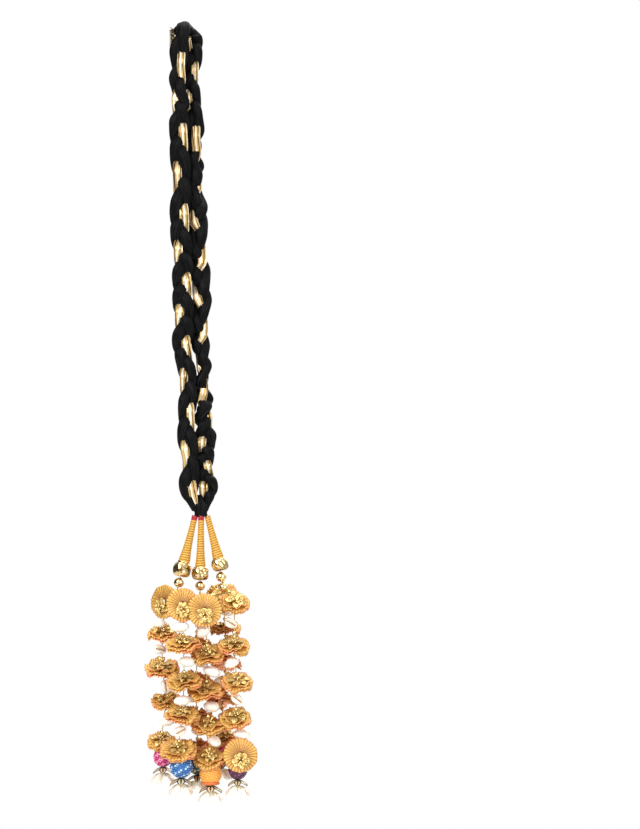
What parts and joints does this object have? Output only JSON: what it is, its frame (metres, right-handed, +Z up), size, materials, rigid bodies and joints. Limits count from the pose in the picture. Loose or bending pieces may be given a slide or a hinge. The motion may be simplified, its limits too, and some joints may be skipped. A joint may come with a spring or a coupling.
{
  "type": "braided hair tassel",
  "caption": "Long black and gold plait folded in half, with thread wound cones and strings of ribbon rosettes, gold beads and cowrie shells.",
  "frame": {"origin": "under the fold of the plait, where it hangs on a peg or is pinned to the hair", "axes": "+Z up along the hanging plait, -Y to the viewer, +X to the viewer's right"},
  "size_m": [0.114, 0.0731, 0.7809],
  "materials": {
    "black_thread": "silky",
    "gold_ribbon": "metallic",
    "red_thread": "silky",
    "yellow_thread": "silky",
    "gold_bead": "metallised",
    "string": "matte",
    "rosette_ribbon": "metallic",
    "cowrie_shell": "glossy",
    "pink_weave": "woven",
    "blue_weave": "woven",
    "green_weave": "woven",
    "orange_weave": "woven",
    "purple_weave": "woven",
    "leaf_cap": "antique"
  },
  "bodies": {
    "root": {"left_thread_a": "black_thread", "left_thread_b": "black_thread", "right_thread_a": "black_thread", "right_thread_b": "black_thread", "left_ribbon": "gold_ribbon", "right_ribbon": "gold_ribbon", "tie": "black_thread", "red_tip_left": "red_thread", "red_tip_centre": "red_thread", "cone_left": "yellow_thread", "cone_centre": "yellow_thread", "cone_right": "yellow_thread", "cap_bead_left": "gold_bead", "cap_bead_centre": "gold_bead", "cap_bead_right": "gold_bead", "round_beads_left": "gold_bead", "round_beads_centre": "gold_bead", "round_beads_right": "gold_bead", "string_1": "string", "string_2": "string", "string_3": "string", "string_4": "string", "string_5": "string", "string_6": "string", "flowers_1": "rosette_ribbon", "flowers_2": "rosette_ribbon", "flowers_3": "rosette_ribbon", "flowers_4": "rosette_ribbon", "flowers_5": "rosette_ribbon", "flowers_6": "rosette_ribbon", "gold_beads_1": "gold_bead", "gold_beads_2": "gold_bead", "gold_beads_3": "gold_bead", "gold_beads_4": "gold_bead", "gold_beads_5": "gold_bead", "gold_beads_6": "gold_bead", "cowries_1": "cowrie_shell", "cowries_2": "cowrie_shell", "cowries_3": "cowrie_shell", "cowries_4": "cowrie_shell", "cowries_5": "cowrie_shell", "cowries_6": "cowrie_shell", "drop_bead_1": "pink_weave", "drop_bead_2": "blue_weave", "drop_bead_3": "green_weave", "drop_bead_4": "orange_weave", "drop_bead_5": "pink_weave", "drop_bead_6": "purple_weave", "leaf_cap_1": "leaf_cap", "leaf_cap_2": "leaf_cap", "leaf_cap_3": "leaf_cap", "leaf_cap_4": "leaf_cap", "leaf_cap_5": "leaf_cap", "leaf_cap_6": "leaf_cap"}
  },
  "joints": []
}
